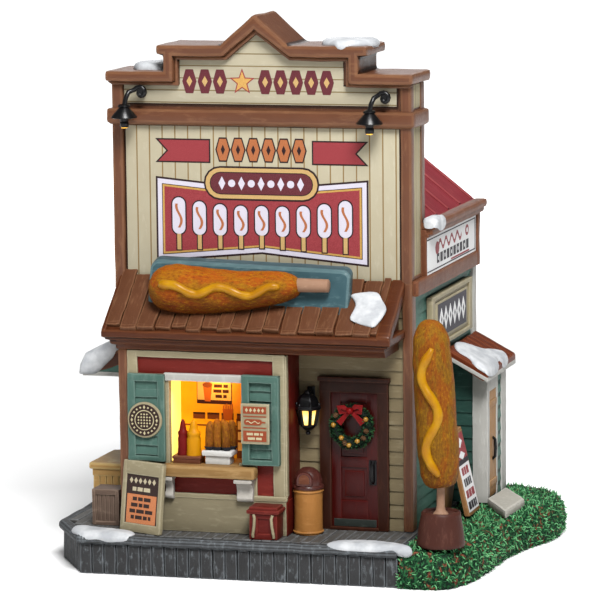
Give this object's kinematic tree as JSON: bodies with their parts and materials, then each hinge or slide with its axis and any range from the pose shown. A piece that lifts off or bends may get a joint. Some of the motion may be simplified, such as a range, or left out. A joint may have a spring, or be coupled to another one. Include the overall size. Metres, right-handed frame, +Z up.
{
  "type": "miniature corn dog shop",
  "caption": "Painted ceramic village shop that lights up: stepped false front, serving window, porch roof with a large corn dog on it, a corn dog in a pot, side shed, deck and lawn.",
  "frame": {"origin": "middle of the footprint, on the surface the base stands on", "axes": "+Z up; -Y is the shop front; +X is the side with the shed and the lawn"},
  "size_m": [0.1594, 0.1286, 0.1855],
  "materials": {
    "deck_paint": "weathered grey boards, dry-brushed paint on ceramic",
    "grass_paint": "tufted green with light dry-brushing",
    "cream_paint": "satin painted ceramic",
    "teal_paint": "satin painted ceramic with lap boards",
    "tan_paint": "satin painted ceramic",
    "brown_paint": "satin painted wood-brown ceramic",
    "dark_brown_paint": "satin dark brown paint",
    "maroon_paint": "satin dark red paint",
    "red_paint": "satin red paint",
    "roof_red_paint": "satin red paint, worn light edges",
    "sign_teal_paint": "satin blue-green paint",
    "batter_paint": "satin golden-brown batter with fine grain",
    "mustard_paint": "glossy yellow",
    "stick_paint": "pale wood, satin",
    "white_paint": "satin white paint",
    "stone_paint": "matt pale stone",
    "wreath_green": "green needles",
    "black_paint": "semi-gloss black",
    "glow": "lit warm yellow print film",
    "snow": "soft white paint"
  },
  "bodies": {
    "root": {"deck_skirt": "deck_paint", "deck_floor": "deck_paint", "grass_mound": "grass_paint", "wall_front": "cream_paint", "bay_base": "cream_paint", "bay_left": "cream_paint", "bay_right": "cream_paint", "bay_head": "cream_paint", "menu_board": "cream_paint", "sign_front": "cream_paint", "window_sign": "cream_paint", "menu_easel": "cream_paint", "wall_left": "teal_paint", "wall_right": "teal_paint", "wall_back": "teal_paint", "shutter_left": "teal_paint", "shutter_right": "teal_paint", "attic": "teal_paint", "shed": "teal_paint", "counter": "tan_paint", "bin": "tan_paint", "side_counter": "tan_paint", "corner_post": "brown_paint", "porch_roof": "brown_paint", "post_left": "brown_paint", "post_right": "brown_paint", "ledge": "brown_paint", "cornice": "brown_paint", "side_awning": "brown_paint", "side_sign": "brown_paint", "shed_roof": "brown_paint", "door_frame": "dark_brown_paint", "sauce_tray": "dark_brown_paint", "pot": "dark_brown_paint", "bin_lid": "dark_brown_paint", "planter_box": "dark_brown_paint", "door": "maroon_paint", "cooler_box": "red_paint", "folding_board": "red_paint", "main_roof": "roof_red_paint", "roof_sign_board": "sign_teal_paint", "roof_corn_dog": "batter_paint", "pot_corn_dog": "batter_paint", "roof_mustard": "mustard_paint", "pot_mustard": "mustard_paint", "roof_stick": "stick_paint", "pot_stick": "stick_paint", "bracket_left": "white_paint", "bracket_right": "white_paint", "corn_dog_rack": "white_paint", "door_step": "stone_paint", "wreath": "wreath_green", "lantern": "black_paint", "lamp_left": "black_paint", "lamp_right": "black_paint", "room_back": "glow", "snow_cornice_left": "snow", "snow_cornice_right": "snow", "snow_awning": "snow", "snow_shed": "snow"}
  },
  "joints": []
}
